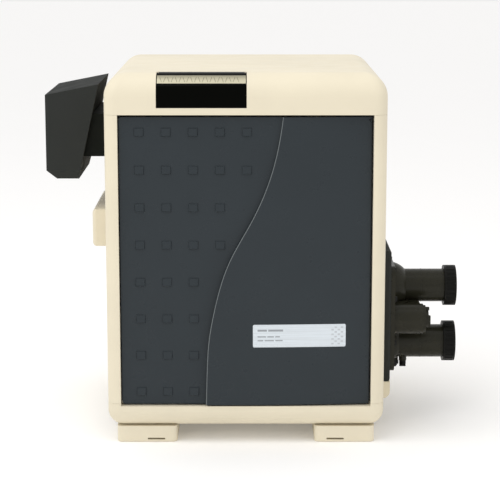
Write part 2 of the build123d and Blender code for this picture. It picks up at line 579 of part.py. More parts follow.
SHAFT_R = 4.0
BLADES = 12
with BuildPart() as blower_impeller:
    rod(BLOWER_X, -192, BLOWER_Z, Y_AXIS, 70, 2)
    rod(BLOWER_X, -192, BLOWER_Z, Y_AXIS, 12, 26)
    rod(BLOWER_X, -150, BLOWER_Z, Y_AXIS, 70, 2)
    rod(BLOWER_X, -151, BLOWER_Z, Y_AXIS, 38, 4, mode=Mode.SUBTRACT)
    with BuildSketch(front_plane(-149)):
        with Locations((BLOWER_X, BLOWER_Z)):
            with PolarLocations(54, BLADES):
                Rectangle(28, 2.4, rotation=38)
    extrude(amount=42)
    rod(BLOWER_X, -193, BLOWER_Z, Y_AXIS, SHAFT_R, 40, mode=Mode.SUBTRACT)

with BuildPart() as motor_shaft:
    rod(BLOWER_X, -240, BLOWER_Z, Y_AXIS, SHAFT_R, 72)

with BuildPart() as blower_motor:
    rod(BLOWER_X, -245, BLOWER_Z, Y_AXIS, 48, 45)
    fillet(blower_motor.faces().sort_by(Axis.Y)[0].edges(), 8)
    rod(BLOWER_X, -241, BLOWER_Z, Y_AXIS, SHAFT_R + 0.06, 50, mode=Mode.SUBTRACT)
    with BuildSketch(front_plane(-200)):
        with Locations((BLOWER_X, BLOWER_Z)):
            with PolarLocations(56, 3, start_angle=90):
                SlotCenterToCenter(16, 10)
            Circle(40, mode=Mode.SUBTRACT)
    extrude(amount=3)

with BuildPart() as inlet_plenum:
    block(-108, -8, BLOWER_BACK, -100, 148, 232)
    block(-196, -108, BLOWER_BACK, -60, 148, PLENUM_TOP)
    fillet(inlet_plenum.edges().filter_by(Axis.Z).group_by(Axis.X)[0], 12)
    block(-109, -11, BLOWER_BACK - 1, -103, 151, 229, mode=Mode.SUBTRACT)
    block(-192, -108.5, BLOWER_BACK + 3, -63.5, 151, PLENUM_TOP - 3, mode=Mode.SUBTRACT)
    rod(PLENUM_HOSE_X, HOSE_Y, 220, Z_AXIS, HOSE_R - 3, 30, mode=Mode.SUBTRACT)
    rod(-12, -114, BLOWER_Z, X_AXIS, 7, 10, mode=Mode.SUBTRACT)

# ---------------------------------------------------------------- gas train
VALVE_X, VALVE_Y = 130.0, -213.0
GAS_THREAD_R, GAS_THREAD_L = 12.2, 18.0
with BuildPart() as gas_pipe:
    pipe_run([(-HALF + 2, GAS_Y, GAS_Z), (VALVE_X, GAS_Y, GAS_Z), (VALVE_X, GAS_Y, 270)], 13.35, 30, 10.5)
    rod(-HALF + 2, GAS_Y, GAS_Z, X_AXIS, 17.5, 34)
    rod(-HALF + 1, GAS_Y, GAS_Z, X_AXIS, 10.5, 60, mode=Mode.SUBTRACT)
    rod(-HALF + 2, GAS_Y, GAS_Z, X_AXIS, GAS_THREAD_R, GAS_THREAD_L, mode=Mode.SUBTRACT)

with BuildPart() as gas_valve:
    block(VALVE_X - 36, VALVE_X + 36, VALVE_Y - 30, VALVE_Y + 30, 282, 348)
    fillet(gas_valve.edges().filter_by(Axis.Z), 8)
    rod(VALVE_X, GAS_Y, 270, Z_AXIS, 20, 14)
    rod(VALVE_X + 36, VALVE_Y, 315, X_AXIS, 24, 22)
    rod(VALVE_X - 44, VALVE_Y, 310, X_AXIS, 12, 10)
    rod(VALVE_X, VALVE_Y, 340, Z_AXIS, 5.06, 12, mode=Mode.SUBTRACT)

with BuildPart() as gas_valve_knob:
    rod(VALVE_X, VALVE_Y, 341, Z_AXIS, 5.0, 8)
    rod(VALVE_X, VALVE_Y, 348.4, Z_AXIS, 15, 10)
    block(VALVE_X - 4, VALVE_X + 4, VALVE_Y - 16, VALVE_Y + 14, 356, 366)

with BuildPart() as gas_outlet_pipe:
    pipe_run([(VALVE_X - 44, VALVE_Y, 310), (62, VALVE_Y, 310), (62, -114, 310), (62, -114, BLOWER_Z),
              (-8, -114, BLOWER_Z)], 8, 16, 6)

# ---------------------------------------------------------------- electrics
with BuildPart() as control_box:
    block(-170, 170, -246, -130, 532, 638)
    block(-168, 168, -247, -132, 534, 636, mode=Mode.SUBTRACT)
    for side in (-1, 1):
        block(*sorted((side * 170, side * 266)), -246, -132, 636, 638)

with BuildPart() as control_board:
    block(-150, 20, -139, -137.4, 542, 626)
    for x in (-150, 12):
        for z in (542, 618):
            block(x, x + 8, -137.4, -132, z, z + 8)
    block(-140, -112, -155, -139, 585, 620)
    block(-104, -76, -155, -139, 585, 620)
    block(-66, -40, -144, -139, 560, 586)
    block(-140, -30, -151, -139, 545, 553)
    block(-22, 8, -160, -139, 552, 574)
    rod(-10, -165, 600, Y_AXIS, 9, 26)

with BuildPart() as transformer:
    block(50, 118, -190, -140, 534, 540)
    block(56, 112, -186, -144, 540, 588)
    block(66, 102, -202, -132.5, 546, 582)
    fillet(transformer.edges().filter_by(Axis.Y), 2)

with BuildPart() as junction_box:
    block(205, HALF - WALL, -240, -180, 420, 490)
    block(207, HALF - WALL - 2, -238, -182, 422, 488, mode=Mode.SUBTRACT)
    rod(250, CONDUIT_Y, CONDUIT_Z, X_AXIS, 14, 30, mode=Mode.SUBTRACT)

# ---------------------------------------------------------------- water side on the right
with BuildPart() as plumbing_plate:
    block(HALF + GAP, PLATE_X, -153, 153, 95, 366)
    outer_face = plumbing_plate.faces().sort_by(Axis.X)[-1]
    fillet(outer_face.edges(), 6)
    block(HALF - 1, PLATE_X - 3, -150, 150, 98, 363, mode=Mode.SUBTRACT)
    block(HALF, PLATE_X + 1, -81, 5, 103, 322, mode=Mode.SUBTRACT)

SWITCH_X, SWITCH_Y = 313.5, -32.0
DRAIN_X, DRAIN_Y, DRAIN_R = 329.0, -44.0, 5.0
UPPER_DOME_R, LOWER_DOME_R = 50.0, 42.0
with BuildPart() as water_header:
    block(PLATE_X + GAP, PLATE_X + 9, -145, 18, 112, 330)
    fillet(water_header.edges().filter_by(Axis.X), 18)
    block(HALF - 12, PLATE_X + 5, -80, 4, 104, 321)
    for z, dome_r in ((UPPER_Z, UPPER_DOME_R), (LOWER_Z, LOWER_DOME_R)):
        with Locations(Location((CX + PLATE_X + GAP, HEADER_Y, z), (0, 90, 0))):
            Sphere(dome_r, arc_size1=0, align=(Align.CENTER, Align.CENTER, Align.MIN))
        rod(PLATE_X + 5, HEADER_Y, z, X_AXIS, STUB_R, STUB_END - PLATE_X - 5)
    block(PLATE_X + 5, PLATE_X + 24, -72, -4, LOWER_Z, UPPER_Z)
    # web that carries the bypass cylinder under the upper stub
    block(PLATE_X + 5, 358, -98, -46, BYPASS_Z, UPPER_Z - STUB_R + 8)
    block(PLATE_X + 5, PLATE_X + 24, BYPASS_Y, HEADER_Y, BYPASS_Z - 28, BYPASS_Z + 28)
    rod(PLATE_X + 5, BYPASS_Y, BYPASS_Z, X_AXIS, BYPASS_R, 363 - PLATE_X - 5)
    rod(SWITCH_X, SWITCH_Y, 109, Z_AXIS, 7, 14)
    rod(DRAIN_X, DRAIN_Y, 112, Z_AXIS, DRAIN_R + 3, 20)
    for z in (UPPER_Z, LOWER_Z):
        rod(HALF - 13, HEADER_Y, z, X_AXIS, WATERWAY_R, 400, mode=Mode.SUBTRACT)
        rod(STUB_END - SOCKET_L, HEADER_Y, z, X_AXIS, SOCKET_R, SOCKET_L + 1, mode=Mode.SUBTRACT)
    block(PLATE_X + 8, PLATE_X + 20, BYPASS_Y, HEADER_Y, BYPASS_Z - 18, BYPASS_Z + 18, mode=Mode.SUBTRACT)
    block(PLATE_X + 8, PLATE_X + 20, -56, -20, LOWER_Z, UPPER_Z, mode=Mode.SUBTRACT)
    rod(PLATE_X + 8, BYPASS_Y, BYPASS_Z, X_AXIS, 26, 100, mode=Mode.SUBTRACT)
    rod(DRAIN_X, DRAIN_Y, 111, Z_AXIS, DRAIN_R + 0.06, 25, mode=Mode.SUBTRACT)


def union_nut(z):
    """Ring nut that turns on a stub, with an end lip that the pipe passes through."""
    rod(NUT_START, HEADER_Y, z, X_AXIS, NUT_R, NUT_END - NUT_START)
    with BuildSketch(side_plane(NUT_START + 4)) as grips:
        with Locations((HEADER_Y, z)):
            with PolarLocations(NUT_R + 1.6, 24):
                Circle(3)
    extrude(grips.sketch, amount=NUT_END - NUT_START - 8, mode=Mode.SUBTRACT)
    rod(NUT_START - 1, HEADER_Y, z, X_AXIS, STUB_R + 0.08, STUB_END + 0.4 - NUT_START + 1, mode=Mode.SUBTRACT)
    rod(NUT_START, HEADER_Y, z, X_AXIS, SOCKET_R + 1, 40, mode=Mode.SUBTRACT)


with BuildPart() as union_nut_upper:
    union_nut(UPPER_Z)

with BuildPart() as union_nut_lower:
    union_nut(LOWER_Z)

with BuildPart() as bypass_cap:
    rod(363, BYPASS_Y, BYPASS_Z, X_AXIS, 28, 5)
    rod(352, BYPASS_Y, BYPASS_Z, X_AXIS, 25.8, 12)
    rod(367, BYPASS_Y, BYPASS_Z, X_AXIS, 18, 7)
    block(367, 379, BYPASS_Y - 5, BYPASS_Y + 5, BYPASS_Z - 16, BYPASS_Z + 6)
    block(367, 376, BYPASS_Y - 4, BYPASS_Y + 4, BYPASS_Z + 18, BYPASS_Z + 24)
    rod(351, BYPASS_Y, BYPASS_Z, X_AXIS, 16, 6, mode=Mode.SUBTRACT)

PLUNGER_X, SPRING_START, SPRING_END = 320.0, 325.0, 357.0
with BuildPart() as bypass_plunger:
    rod(PLUNGER_X, BYPASS_Y, BYPASS_Z, X_AXIS, 24.5, 5)
    rod(PLUNGER_X, BYPASS_Y, BYPASS_Z, X_AXIS, 5, 20)

SPRING_TURNS, SPRING_R, WIRE_R = 6, 11.0, 1.2
with BuildPart() as bypass_spring:
    coil_start = (CX + SPRING_START + WIRE_R, BYPASS_Y, BYPASS_Z)
    coil_length = SPRING_END - SPRING_START - 2 * WIRE_R
    with BuildLine() as coil:
        Helix(coil_length / SPRING_TURNS, coil_length, SPRING_R, center=coil_start, direction=X_AXIS)
    with BuildSketch(Plane(origin=coil.line @ 0, z_dir=coil.line % 0)):
        Circle(WIRE_R)
    sweep(path=coil.line, is_frenet=True)

with BuildPart() as drain_plug:
    rod(DRAIN_X, DRAIN_Y, 111, Z_AXIS, DRAIN_R, 14)
    rod(DRAIN_X, DRAIN_Y, 104, Z_AXIS, 7, 7.2)
    block(DRAIN_X - 6.5, DRAIN_X + 6.5, DRAIN_Y - 2, DRAIN_Y + 2, 99, 104)

with BuildPart() as pressure_switch:
    rod(SWITCH_X, SWITCH_Y, 102, Z_AXIS, 8, 7)
    block(SWITCH_X - 5, SWITCH_X + 5, SWITCH_Y - 3, SWITCH_Y + 3, 98.5, 102)

with BuildPart() as hex_bolts:
    with BuildSketch(level(CHAMBER_TOP + 6)):
        with Locations((0, CHAMBER_Y)):
            with PolarLocations((CHAMBER_R + FLANGE_R) / 2, 8, start_angle=22.5):
                RegularPolygon(5.5, 6)
    extrude(amount=4)
    with BuildSketch(side_plane(PLATE_X + 9)):
        with Locations((-131, 170), (-131, 262), (8, 318), (8, 120), (-96, 316), (-128, 126)):
            RegularPolygon(6, 6)
    extrude(amount=5)

# ---------------------------------------------------------------- write the pieces
PIECES = {
    "base_tray": base_tray, "feet": feet, "left_panel": left_panel, "right_panel": right_panel,
    "rear_panel": rear_panel, "panel_screws": panel_screws, "top_cover": top_cover,
    "front_door": front_door, "nameplate": nameplate, "door_clips": door_clips,
    "control_housing": control_housing, "control_cover": control_cover, "cover_band": cover_band,
    "cover_hinge_pin": cover_hinge_pin, "display_module": display_module,
    "display_lens": display_lens, "keypad_board": keypad_board, "button_pool": button_pool,
    "button_spa": button_spa, "button_up": button_up, "button_down": button_down,
    "button_off": button_off, "exhaust_hood": exhaust_hood, "exhaust_duct": exhaust_duct,
    "exhaust_grille": exhaust_grille, "flue_box": flue_box, "flue_riser": flue_riser,
    "intake_hood": intake_hood, "intake_screen": intake_screen, "intake_hose": intake_hose,
    "chamber_shell": chamber_shell, "chamber_insulation": chamber_insulation,
    "heat_exchanger": heat_exchanger, "chamber_lid": chamber_lid, "burner": burner,
    "igniter": igniter, "mixture_pipe": mixture_pipe, "blower_housing": blower_housing,
    "blower_impeller": blower_impeller, "motor_shaft": motor_shaft, "blower_motor": blower_motor,
    "inlet_plenum": inlet_plenum, "gas_pipe": gas_pipe, "gas_valve": gas_valve,
    "gas_valve_knob": gas_valve_knob, "gas_outlet_pipe": gas_outlet_pipe,
    "control_box": control_box, "control_board": control_board, "transformer": transformer,
    "junction_box": junction_box, "plumbing_plate": plumbing_plate, "water_header": water_header,
    "union_nut_upper": union_nut_upper, "union_nut_lower": union_nut_lower,
    "bypass_cap": bypass_cap, "bypass_plunger": bypass_plunger, "bypass_spring": bypass_spring,
    "drain_plug": drain_plug, "pressure_switch": pressure_switch, "hex_bolts": hex_bolts,
}
for name, piece in PIECES.items():
    piece.part.label = name
    export_step(piece.part, f"parts/{name}.step")
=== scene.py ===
"""Looks for the pool heater: materials, detailed pieces that ride on the frame, studio, camera."""
import json
from math import cos, radians, sin

import bmesh
import bpy
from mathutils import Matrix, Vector
from mathutils.bvhtree import BVHTree


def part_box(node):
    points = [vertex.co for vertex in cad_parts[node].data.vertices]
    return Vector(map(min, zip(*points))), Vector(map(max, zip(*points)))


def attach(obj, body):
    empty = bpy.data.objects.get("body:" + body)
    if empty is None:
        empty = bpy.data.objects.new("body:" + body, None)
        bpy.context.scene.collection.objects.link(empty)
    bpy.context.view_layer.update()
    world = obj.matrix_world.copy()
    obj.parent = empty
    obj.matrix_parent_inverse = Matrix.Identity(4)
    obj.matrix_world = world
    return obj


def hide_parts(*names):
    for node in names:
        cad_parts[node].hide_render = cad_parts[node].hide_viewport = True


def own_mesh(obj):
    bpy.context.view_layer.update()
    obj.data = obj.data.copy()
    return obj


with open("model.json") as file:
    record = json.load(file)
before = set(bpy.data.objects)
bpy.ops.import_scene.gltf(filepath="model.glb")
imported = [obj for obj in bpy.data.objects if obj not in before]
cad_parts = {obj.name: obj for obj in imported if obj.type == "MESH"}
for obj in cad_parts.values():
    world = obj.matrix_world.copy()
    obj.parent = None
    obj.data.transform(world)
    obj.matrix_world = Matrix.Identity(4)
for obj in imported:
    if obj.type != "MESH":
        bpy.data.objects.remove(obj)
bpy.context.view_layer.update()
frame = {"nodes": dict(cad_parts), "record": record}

NODES = frame["nodes"]
MM = 0.001

cover_low, cover_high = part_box("top_cover")
CX = (cover_low.x + cover_high.x) / 2      # middle of the cabinet
FRONT = cover_low.y                        # front plane of the cabinet


# ---------------------------------------------------------------- materials
RAMP_START, RAMP_STOP = 0.3, 0.7           # the part of a texture's 0..1 range that is spread out


class Shader:
    """A Principled material with short helpers for its nodes."""

    def __init__(self, name, color, roughness, metallic=0.0, **sockets):
        self.material = bpy.data.materials.new(name)
        self.material.use_nodes = True
        self.tree = self.material.node_tree
        self.tree.nodes.clear()
        self.bsdf = self.add("ShaderNodeBsdfPrincipled")
        out = self.add("ShaderNodeOutputMaterial")
        self.link(self.bsdf.outputs["BSDF"], out.inputs["Surface"])
        self.color = color
        self.bsdf.inputs["Base Color"].default_value = (*color, 1)
        self.bsdf.inputs["Roughness"].default_value = roughness
        self.bsdf.inputs["Metallic"].default_value = metallic
        for key, value in sockets.items():
            self.bsdf.inputs[key.replace("_", " ")].default_value = value
        self.place = self.add("ShaderNodeTexCoord").outputs["Object"]

    def add(self, kind, **props):
        node = self.tree.nodes.new(kind)
        for key, value in props.items():
            setattr(node, key, value)
        return node

    def link(self, a, b):
        self.tree.links.new(a, b)

    def stretched(self, scale):
        """Object coordinates scaled along each axis."""
        mapping = self.add("ShaderNodeMapping")
        mapping.inputs["Scale"].default_value = scale
        self.link(self.place, mapping.inputs["Vector"])
        return mapping.outputs["Vector"]

    def noise(self, scale, detail=3.0, vector=None):
        """Height or factor, 0..1, of a noise texture."""
        node = self.add("ShaderNodeTexNoise")
        node.inputs["Scale"].default_value = scale
        node.inputs["Detail"].default_value = detail
        node.inputs["Roughness"].default_value = 0.5
        self.link(vector or self.place, node.inputs["Vector"])
        return node.outputs["Fac"]

    def cells(self, scale):
        """A random colour for each cell of a Voronoi texture."""
        node = self.add("ShaderNodeTexVoronoi", feature="F1")
        node.inputs["Scale"].default_value = scale
        self.link(self.place, node.inputs["Vector"])
        return node.outputs["Color"]

    def vary_color(self, factor, darker, lighter):
        """Base colour between two multiples of the material's own colour."""
        ramp = self.add("ShaderNodeValToRGB")
        first, last = ramp.color_ramp.elements
        first.position, last.position = RAMP_START, RAMP_STOP
        first.color = (*[c * darker for c in self.color], 1)
        last.color = (*[min(1, c * lighter) for c in self.color], 1)
        self.link(factor, ramp.inputs["Fac"])
        self.link(ramp.outputs["Color"], self.bsdf.inputs["Base Color"])

    def vary_roughness(self, factor, low, high):
        """Roughness between low and high."""
        node = self.add("ShaderNodeMapRange")
        node.inputs["From Min"].default_value = RAMP_START
        node.inputs["From Max"].default_value = RAMP_STOP
        node.inputs["To Min"].default_value = low
        node.inputs["To Max"].default_value = high
        self.link(factor, node.inputs["Value"])
        self.link(node.outputs["Result"], self.bsdf.inputs["Roughness"])

    def bump(self, *layers):
        """Stacks (height factor, strength, distance in metres) layers."""
        normal = None
        for height, strength, distance in layers:
            node = self.add("ShaderNodeBump")
            node.inputs["Strength"].default_value = strength
            node.inputs["Distance"].default_value = distance
            self.link(height, node.inputs["Height"])
            if normal:
                self.link(normal, node.inputs["Normal"])
            normal = node.outputs["Normal"]
        self.link(normal, self.bsdf.inputs["Normal"])


def moulded(name, color, roughness, grain=900.0, grain_depth=0.00004, **sockets):
    """Moulded plastic: soft mottling, fine grain and uneven gloss."""
    shader = Shader(name, color, roughness, **sockets)
    shader.vary_color(shader.noise(9, 4), 0.965, 1.02)
    shader.vary_roughness(shader.noise(26, 5), roughness * 0.85, roughness * 1.15)
    shader.bump((shader.noise(14, 2), 0.10, 0.0006), (shader.noise(grain, 2), 0.35, grain_depth))
    return shader


def sheet_metal(name, color, roughness, spangle=0.0):
    """Sheet steel, with zinc spangle when asked."""
    shader = Shader(name, color, roughness, metallic=1.0)
    if spangle:
        flakes = shader.cells(spangle)
        channels = shader.add("ShaderNodeSeparateColor")
        shader.link(flakes, channels.inputs["Color"])
        shader.vary_color(channels.outputs["Red"], 0.82, 1.1)
        shader.vary_roughness(channels.outputs["Green"], roughness * 0.8, roughness * 1.25)
    else:
        shader.vary_color(shader.noise(20, 4), 0.92, 1.04)
        shader.vary_roughness(shader.noise(60, 4), roughness * 0.8, roughness * 1.2)
    shader.bump((shader.noise(30, 3), 0.15, 0.0004))
    return shader


def brushed(name, color, roughness, grain=(8, 8, 900)):
    """Metal with fine drawn lines."""
    shader = Shader(name, color, roughness, metallic=1.0)
    lines = shader.noise(1.0, 3, vector=shader.stretched(grain))
    shader.vary_color(lines, 0.85, 1.1)
    shader.vary_roughness(lines, roughness * 0.75, roughness * 1.3)
    shader.bump((lines, 0.2, 0.00005))
    return shader


def clear_glass(name, color, roughness):
    """Clear glass with slightly uneven gloss."""
    shader = Shader(name, color, roughness, Transmission_Weight=0.9, IOR=1.46)
    shader.vary_roughness(shader.noise(30), 0.03, 0.06)
    return shader


# Those down to nut_plastic are slots of the record; the prints, the tint and the crest, whose
# lighter colour paints a highlight along the door's step, are not.
MATERIALS = {
    "cream_plastic": moulded("cream plastic", (0.755, 0.685, 0.53), 0.45,
                             Specular_IOR_Level=0.2),
    "door_plastic": moulded("charcoal plastic", (0.024, 0.031, 0.036), 0.30,
                            grain=1400, grain_depth=0.00002, Specular_IOR_Level=0.22),
    "black_plastic": moulded("black plastic", (0.032, 0.034, 0.032), 0.7,
                             Specular_IOR_Level=0.04),
    "black_steel": moulded("black paint", (0.006, 0.007, 0.005), 0.5, Specular_IOR_Level=0.08),
    "dark_mesh": moulded("dark mesh paint", (0.03, 0.03, 0.03), 0.5),
    "screw_steel": brushed("zinc steel", (0.52, 0.52, 0.5), 0.32),
    "spring_steel": brushed("spring steel", (0.55, 0.55, 0.54), 0.25),
    "label_silver": brushed("label foil", (0.70, 0.75, 0.79), 0.45),
    "band_silver": brushed("band foil", (0.38, 0.355, 0.26), 0.38),
    "housing_plastic": moulded("housing plastic", (0.014, 0.014, 0.012), 0.5,
                               Specular_IOR_Level=0.2),
    "smoked_plastic": moulded("smoked gloss", (0.0012, 0.0013, 0.0008), 0.06,
                              grain=300, grain_depth=0.000004, Specular_IOR_Level=0.03),
    "display_plastic": moulded("display", (0.03, 0.05, 0.03), 0.3),
    "lens_glass": clear_glass("lens glass", (0.9, 0.95, 0.95), 0.04),
    "circuit_board": moulded("solder mask", (0.01, 0.09, 0.035), 0.3),
    "key_rubber": moulded("key rubber", (0.22, 0.23, 0.24), 0.55),
    "key_red": moulded("red key", (0.38, 0.02, 0.015), 0.5),
    "galvanised": sheet_metal("galvanised", (0.52, 0.53, 0.54), 0.38, spangle=55),
    "hose_rubber": moulded("hose rubber", (0.012, 0.012, 0.012), 0.6),
    "ceramic_fibre": moulded("ceramic fibre", (0.8, 0.78, 0.72), 0.95,
                             grain=500, grain_depth=0.0004),
    "copper": brushed("copper", (0.72, 0.33, 0.19), 0.3),
    "lid_steel": sheet_metal("lid steel", (0.42, 0.41, 0.4), 0.42),
    "stainless": brushed("stainless", (0.6, 0.6, 0.58), 0.25),
    "ceramic": moulded("ceramic", (0.78, 0.76, 0.7), 0.25),
    "cast_aluminium": sheet_metal("cast aluminium", (0.5, 0.5, 0.49), 0.5),
    "motor_paint": moulded("motor paint", (0.02, 0.02, 0.024), 0.4),
    "pipe_iron": moulded("black iron", (0.02, 0.02, 0.018), 0.5, Specular_IOR_Level=0.15),
    "knob_plastic": moulded("knob plastic", (0.5, 0.03, 0.015), 0.35),
    "transformer_iron": moulded("transformer iron", (0.09, 0.075, 0.065), 0.5),
    "header_plastic": moulded("header plastic", (0.023, 0.022, 0.014), 0.28,
                              grain=700, grain_depth=0.00005, Specular_IOR_Level=0.16),
    "nut_plastic": moulded("nut plastic", (0.004, 0.004, 0.003), 0.4,
                           grain=700, grain_depth=0.00005, Specular_IOR_Level=0.12),
    "label_print": moulded("label print", (0.30, 0.32, 0.34), 0.5),
    "band_print": moulded("band print", (0.06, 0.055, 0.04), 0.5),
    "label_tint": moulded("label tint", (0.50, 0.53, 0.56), 0.45),
    # painted highlight: the crest is much lighter and glossier than the door plastic it lies on
    "door_crest_painted_highlight": moulded("crest plastic painted highlight", (0.13, 0.145, 0.15), 0.3, Specular_IOR_Level=0.5),
    "key_print": moulded("key print", (0.75, 0.75, 0.72), 0.5),
}

slot_of = {entry["node"]: entry["material_slot"] for entry in frame["record"]["subparts"]}
for node, obj in NODES.items():
    obj.data.materials.clear()
    obj.data.materials.append(MATERIALS[slot_of[node]].material)


# ---------------------------------------------------------------- pieces
TO_BACK = Vector((0, 1, 0))
MARK_WALL = 0.9                            # depth of a mark's walls, as a share of its lift


def surface(node):
    """Search tree over a CAD node's faces."""
    mesh = NODES[node].data
    return BVHTree.FromPolygons([v.co for v in mesh.vertices],
                                [p.vertices[:] for p in mesh.polygons])


def finish_piece(name, mesh_builder, body, material, smooth=True):
    """Turns a bmesh into a piece that rides on a body."""
    mesh = bpy.data.meshes.new(name)
    mesh_builder.normal_update()
    mesh_builder.to_mesh(mesh)
    mesh_builder.free()
    for polygon in mesh.polygons:
        polygon.use_smooth = smooth
    piece = bpy.data.objects.new(name, mesh)
    bpy.context.scene.collection.objects.link(piece)
    piece.data.materials.append(MATERIALS[material].material)
    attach(piece, body)
    return piece


def walled_skin(bm, rows):
    """Adds a grid of points as a skin and extrudes its rim. Returns the walls' far corners."""
    verts = [[bm.verts.new(point) for point in row] for row in rows]
    faces = {
        bm.faces.new((verts[i][j], verts[i][j + 1], verts[i + 1][j + 1], verts[i + 1][j]))
        for i in range(len(verts) - 1)
        for j in range(len(verts[0]) - 1)
    }
    rim = [e for e in bm.edges if len(e.link_faces) == 1 and e.link_faces[0] in faces]
    walls = bmesh.ops.extrude_edge_only(bm, edges=rim)
    return [part for part in walls["geom"] if isinstance(part, bmesh.types.BMVert)]


def printed(name, node, shapes, body, material, aim=TO_BACK, lift=0.15 * MM, steps=4):
    """Thin raised marks on a node. A shape is four points; aim is the way they are pressed in."""
    tree = surface(node)
    bm = bmesh.new()
    for a, b, c, d in shapes:
        rows = []
        for i in range(steps + 1):
            row = []
            for j in range(steps + 1):
                u, v = i / steps, j / steps
                point = a.lerp(b, u).lerp(d.lerp(c, u), v)
                hit = tree.ray_cast(point - aim, aim)[0]
                if hit is None:
                    raise RuntimeError(name + ": a mark lies off " + node)
                row.append(hit - aim * lift)
            rows.append(row)
        bmesh.ops.translate(bm, vec=aim * lift * MARK_WALL, verts=walled_skin(bm, rows))
        bmesh.ops.recalc_face_normals(bm, faces=bm.faces)
    finish_piece(name, bm, body, material, smooth=False)


def upright(x0, x1, z0, z1, lean=0.0):
    """Four points of a mark that faces the front; lean moves its top sideways."""
    return (Vector((x0, 0, z0)), Vector((x1, 0, z0)),
            Vector((x1 + lean, 0, z1)), Vector((x0 + lean, 0, z1)))


# Plain marks where the real label carries words: rows of short bars, then a block of small
# squares. All are shares of the plate's width and height.
PRINT_ROWS = (                             # foot of the row, its thickness, its bars' lengths
    (0.70, 0.085, (0.10, 0.16)),
    (0.44, 0.05, (0.09, 0.07, 0.05)),
    (0.27, 0.05, (0.06, 0.10, 0.08)),
)
PRINT_INDENT, PRINT_GAP = 0.05, 0.015
BLOCK_COLUMNS, BLOCK_ROWS = 4, 8
BLOCK_FROM_RIGHT, BLOCK_FROM_FOOT = 0.155, 0.10
BLOCK_PITCH_X, BLOCK_PITCH_Z = 0.034, 0.103
SQUARE_W, SQUARE_H = 0.026, 0.07

plate_low, plate_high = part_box("nameplate")
plate_w, plate_h = plate_high.x - plate_low.x, plate_high.z - plate_low.z
bars = []
for height, thick, lengths in PRINT_ROWS:
    start = PRINT_INDENT
    for length in lengths:
        bars.append(upright(plate_low.x + plate_w * start,
                            plate_low.x + plate_w * (start + length),
                            plate_low.z + plate_h * height,
                            plate_low.z + plate_h * (height + thick)))
        start += length + PRINT_GAP
printed("nameplate_bars", "nameplate", bars, "door", "label_print")
squares = []
for column in range(BLOCK_COLUMNS):
    for row in range(BLOCK_ROWS):
        x = plate_high.x - plate_w * (BLOCK_FROM_RIGHT - column * BLOCK_PITCH_X)
        z = plate_low.z + plate_h * (BLOCK_FROM_FOOT + row * BLOCK_PITCH_Z)
        if (column + row) % 2 == 0:
            squares.append(upright(x, x + plate_w * SQUARE_W, z, z + plate_h * SQUARE_H))
printed("nameplate_squares", "nameplate", squares, "door", "label_tint")

# A plain hatch on the silver band of the lid.
HATCH_PITCH, HATCH_W, HATCH_LEAN = 7.4 * MM, 0.9 * MM, 3.5 * MM
HATCH_START, HATCH_SPARE = 5 * MM, 12 * MM  # first stroke, and the length left free in all
HATCH_FOOT, HATCH_HEAD = 0.2, 0.8           # shares of the band's height

band_low, band_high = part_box("cover_band")
band_h = band_high.z - band_low.z
hatch = []
for index in range(int((band_high.x - band_low.x - HATCH_SPARE) / HATCH_PITCH)):
    x = band_low.x + HATCH_START + index * HATCH_PITCH
    lean = HATCH_LEAN if index % 2 else -HATCH_LEAN
    x -= min(lean, 0)
    hatch.append(upright(x, x + HATCH_W, band_low.z + band_h * HATCH_FOOT,
                         band_low.z + band_h * HATCH_HEAD, lean))
printed("band_hatch", "cover_band", hatch, "control_lid", "band_print")

# Arrows on the up and down keys, one bar on pool, two bars on spa, and a block on off.
KEY_AIM = Vector((0, 1, -1)).normalized()
KEY_UP = Vector((0, 1, 1)).normalized()
KEY_SIDE, KEY_RISE = Vector((2.6 * MM, 0, 0)), KEY_UP * 2.2 * MM   # half a mark each way
BAR_PITCH, BAR_THICK, BLOCK_SHARE = 0.7, 0.25, 0.6                 # shares of those halves
KEY_LIFT = 0.1 * MM


def key_shapes(key, middle):
    """The marks of one key, about its middle."""
    if key in ("up", "down"):
        rise = KEY_RISE * (1 if key == "up" else -1)
        return [(middle - KEY_SIDE - rise, middle + KEY_SIDE - rise, middle + rise, middle + rise)]
    if key == "off":
        side, rise = KEY_SIDE * BLOCK_SHARE, KEY_RISE * BLOCK_SHARE
        return [(middle - side - rise, middle + side - rise,
                 middle + side + rise, middle - side + rise)]
    shapes = []
    for bar in range(2 if key == "spa" else 1):
        foot, head = KEY_RISE * (BAR_PITCH * bar), KEY_RISE * (BAR_PITCH * bar + BAR_THICK)
        shapes.append((middle - KEY_SIDE + foot, middle + KEY_SIDE + foot,
                       middle + KEY_SIDE + head, middle - KEY_SIDE + head))
    return shapes


for key in ("up", "down", "pool", "spa", "off"):
    key_low, key_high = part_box("button_" + key)
    printed("mark_" + key, "button_" + key, key_shapes(key, (key_low + key_high) / 2),
            "key_" + key, "key_print", aim=KEY_AIM, lift=KEY_LIFT, steps=1)


def door_mesh():
    """The CAD door, with the corners its faces share made one."""
    bm = bmesh.new()
    bm.from_mesh(NODES["front_door"].data)
    bmesh.ops.remove_doubles(bm, verts=bm.verts, dist=0.00002)
    bm.normal_update()
    return bm


# The door's skin: the CAD door's own shape with clean smooth shading between its edges.
SHARP_ANGLE = radians(20)
skin = finish_piece("door_skin", door_mesh(), "door", "door_plastic")
if skin.data.has_custom_normals:
    bpy.context.view_layer.objects.active = skin
    bpy.ops.mesh.customdata_custom_splitnormals_clear()
skin.data.set_sharp_from_angle(angle=SHARP_ANGLE)
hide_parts("front_door")

